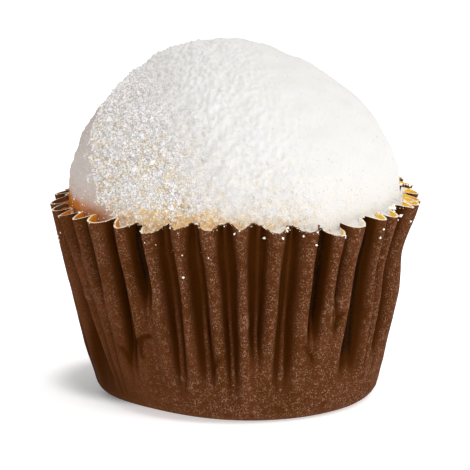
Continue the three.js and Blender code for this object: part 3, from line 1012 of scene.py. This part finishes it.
def case_faces(columns, rows):
    """The faces between a sheet's points, and the place of each one's material."""
    shift = columns * rows
    outside = ring_faces(columns, rows)
    inside = outside[:, ::-1] + shift
    low = np.arange(columns) * rows
    next_low = np.roll(low, -1)
    middle = np.full(columns, 2 * shift + 2 * columns)
    under = np.stack([middle, next_low, low], axis=-1)
    floor = np.stack([middle + 1, low + shift, next_low + shift], axis=-1)
    top = 2 * shift + np.arange(columns)
    next_top = np.roll(top, -1)
    cut = np.stack([top, next_top, next_top + columns, top + columns], axis=-1)
    parts = [outside, under, inside, floor, cut]
    kinds = [OUTSIDE, OUTSIDE, INSIDE, INSIDE, EDGE]
    faces = [face for part in parts for face in part.tolist()]
    return faces, np.repeat(kinds, [len(part) for part in parts])


def make_case(sheet, brown, gold, edge):
    outer = sheet["outer"].reshape(-1, 3)
    inner = sheet["inner"].reshape(-1, 3)
    rim = np.concatenate([sheet["outer"][:, -1], sheet["inner"][:, -1]])
    centres = np.array([[0, 0, 0], [0, 0, PAPER]])
    points = np.concatenate([outer, inner, rim, centres])
    none = np.zeros(len(rim) + len(centres))
    fold, scuff = (
        np.concatenate([sheet[label].ravel(), sheet[label].ravel(), none])
        for label in ("fold", "scuff")
    )
    around = azimuth_of(points)
    degrees = np.degrees(around)
    dusty = ease(20, 45, np.abs(degrees))
    # Painted shade on the lining: deeper gold on the left, dark far round on the left.
    left = ease(0, -50, degrees) * ease(-175, -130, degrees)
    shaded = ease(-74, -79, degrees) * ease(*BACK_FADE, degrees)
    # Fewer light specks on the left side and low on the left: painted shade.
    painted_low_left = 0.7 * left * ease(13, 6, points[:, 2])
    speckled = (1 - 0.7 * leftness(around)) * (1 - painted_low_left)
    faces, kinds = case_faces(*sheet["fold"].shape)
    case = mesh_piece(
        "pleated_case", points, faces, [brown, gold, edge], "case_paper", kinds,
        fold=fold, dusty=dusty, left=left, shaded=shaded, speckled=speckled, scuff=scuff,
    )
    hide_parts("paper_case")


# ---- Powder in and on the case


def make_drift(sheet, coat):
    """Powder that has slid off the ball into the pockets between it and the paper."""
    inner = sheet["inner"]
    columns = len(inner)
    azimuth = azimuth_of(inner[:, -1])
    around = np.degrees(azimuth)
    left, right = hill(*DRIFT_LEFT, around), hill(*DRIFT_RIGHT, around)
    ragged = turbulence(inner[:, -1], 1.6, seed=8)
    level = inner[:, -1, 2] - DRIFT_UNDER - 0.6 * left + 0.1 * right - 0.5 * ragged
    row = np.abs(inner[..., 2] - level[:, None]).argmin(axis=1)
    paper = inner[np.arange(columns), row]
    ball = on_circle(ball_radius(level) - 0.4, azimuth, paper[:, 2] + 0.35)
    ball[:, 0] -= BALL_ASIDE
    steps = np.linspace(0, 1, DRIFT_STEPS)
    points = paper[:, None] + (ball - paper)[:, None] * steps[None, :, None]
    points[:, 1:, 2] += 0.16 * turbulence(points[:, 1:], 0.5, seed=9)
    points = points.reshape(-1, 3)
    wear = ball_wear(points, unit(points - np.array([0, 0, BALL_MIDDLE])))
    faces = ring_faces(columns, DRIFT_STEPS)
    mesh_piece("powder_drift", points, faces, [coat], "milk_powder", **wear)


def all_crumbs():
    """The crumbs that show, small ones along the rim, and more of them at the back."""
    crumbs = list(CRUMBS)
    spans = [span for count, span in RIM_CRUMBS for _ in range(count)]
    for k, span in enumerate(spans):
        at = drawn(span, chance(k, 44))
        height = drawn(RIM_CRUMB_HEIGHT, chance(k, 45))
        crumbs.append((at, height, drawn(RIM_CRUMB_SIZE, chance(k, 46))))
    for k in range(HIDDEN_CRUMBS):
        at = drawn(BACK, chance(k, 41))
        height = drawn(HIDDEN_CRUMB_HEIGHT, chance(k, 42) ** 2.5)
        crumbs.append((at, height, drawn(HIDDEN_CRUMB_SIZE, chance(k, 43) ** 3)))
    return crumbs


def make_crumbs(sheet, material):
    """Crumbs of powder stuck to the case's outside, and dust along its rim."""
    outer, normals = sheet["outer"], sheet["normals"]
    around = azimuth_of(outer)
    centres, radii = [], []
    for at, height, radius in all_crumbs():
        along = wrapped(around - radians(at)) * BEND_RADIUS
        distance = along**2 + (outer[..., 2] - height) ** 2
        spot = np.unravel_index(distance.argmin(), distance.shape)
        centres.append(outer[spot] + normals[spot] * radius * CRUMB_OUT)
        radii.append(radius * CRUMB_GROWTH)

    column = rng.integers(0, len(outer), RIM_DUST)
    crowd = lumps(outer[:, -1], 5.0, 91)[column]
    column = column[rng.uniform(-1.2, 1.2, RIM_DUST) < crowd]
    small = drawn(RIM_DUST_SIZE, rng.uniform(size=len(column)) ** 2)
    down = rng.uniform(-0.1, 0.5, len(column)) ** 3 * np.array([[0], [0], [-3.0]])
    aside = rng.uniform(-0.12, 0.05, (len(column), 1))
    rim = outer[column, -1] + down.T + normals[column, -1] * aside
    centres = np.concatenate([np.array(centres), rim])
    radii = np.concatenate([radii, small])
    make_grains("case_crumbs", centres, radii, material)


# ---- Floor, light and camera


FLOOR_REACH = 4.0  # metres to each side
# The floor's glow is painted light, and its dip by the case a painted shadow.
GLOW_MIDDLE = (-7, 5.5, 0)  # the floor glows least round this point, close to the case
GLOW_FROM = (8.5, 12.5)  # how far from it the glow begins to grow, and is full
GLOW_RIGHT = (-20, 35)  # from left to right, over which it grows a little more
LIT_HEIGHT = 0.018  # the light faces this height, in metres
SKY_LEAN = (0.2, 0, 0.3)  # how much brighter the sky is towards the right and upwards


def make_floor():
    side = FLOOR_REACH
    mesh = bpy.data.meshes.new("floor")
    corners = [(-side, -side, 0), (side, -side, 0), (side, side, 0), (-side, side, 0)]
    mesh.from_pydata(corners, [], [(0, 1, 2, 3)])
    material, tree, surface = shader(
        "pale_floor", Roughness=0.9, Specular_IOR_Level=0.1, Emission_Color=(1, 1, 1, 1)
    )
    place = add_node(tree, "ShaderNodeTexCoord").outputs["Object"]
    inputs = {0: place, 1: [value * MM for value in GLOW_MIDDLE]}
    kind = "ShaderNodeVectorMath"
    away = add_node(tree, kind, inputs, operation="DISTANCE").outputs["Value"]
    near, far = (value * MM for value in GLOW_FROM)
    # Painted shadow by the case, and painted light towards the right.
    glow = maths(tree, "MULTIPLY_ADD", between(tree, away, near, far), 0.4, 0.12)
    across = add_node(tree, "ShaderNodeSeparateXYZ", {0: place}).outputs["X"]
    left, right = (value * MM for value in GLOW_RIGHT)
    more = between(tree, across, left, right)
    glow = maths(tree, "MULTIPLY_ADD", more, 0.1, glow)
    tree.links.new(glow, surface.inputs["Emission Strength"])
    colour = mix_colour(tree, grain(tree, 40.0), (0.9, 0.9, 0.9, 1), (0.92, 0.92, 0.92, 1))
    paint(tree, surface, colour)
    mesh.materials.append(material)
    new_object("floor", mesh)


def add_light(name, azimuth, elevation, distance, size, power):
    """A square soft light that faces the object, at an azimuth from the front."""
    data = bpy.data.lights.new(name, "AREA")
    data.size = size
    data.energy = power
    light = new_object(name, data)
    across = distance * cos(radians(elevation))
    height = distance * sin(radians(elevation))
    target = Vector((0, 0, LIT_HEIGHT))
    light.location = target + Vector(on_circle(across, radians(azimuth), height))
    light.rotation_euler = (target - light.location).to_track_quat("-Z", "Y").to_euler()


def make_lights():
    """One soft light from the front right, and a white sky that is brighter on that side."""
    add_light("key", azimuth=40, elevation=50, distance=0.7, size=0.45, power=1.3)
    world = bpy.data.worlds.new("studio")
    world.use_nodes = True
    tree = world.node_tree
    towards = add_node(tree, "ShaderNodeTexCoord").outputs["Generated"]
    inputs = {0: towards, 1: SKY_LEAN}
    kind = "ShaderNodeVectorMath"
    lean = add_node(tree, kind, inputs, operation="DOT_PRODUCT").outputs["Value"]
    strength = maths(tree, "ADD", lean, 0.56)
    background = tree.nodes["Background"]
    background.inputs["Color"].default_value = (1, 1, 1, 1)
    tree.links.new(strength, background.inputs["Strength"])
    bpy.context.scene.world = world
    bpy.context.scene.view_settings.view_transform = "Standard"


def make_camera():
    data = bpy.data.cameras.new("camera")
    data.lens = data.sensor_width * CAMERA_DISTANCE * PIXELS_PER_MM / PHOTO_SIDE
    data.clip_start = 0.01
    data.clip_end = 20
    camera = new_object("camera", data)
    target = Vector(CAMERA_TARGET) * MM
    away = Vector((0, -cos(CAMERA_ELEVATION), sin(CAMERA_ELEVATION)))
    camera.location = target + away * CAMERA_DISTANCE * MM
    camera.rotation_euler = (-away).to_track_quat("-Z", "Y").to_euler()
    bpy.context.scene.camera = camera


make_camera()
make_lights()
make_floor()
coat = powder_coat()
make_ball(coat)
loose = powder_grains()
for name, count, small, large, sunk in COAT_GRAINS:
    make_coat_grains(name, count, small, large, sunk, loose)
sheet = paper_sheet()
make_case(sheet, brown_paper(), gold_lining(), cut_edge())
make_drift(sheet, coat)
make_crumbs(sheet, crumb_powder())
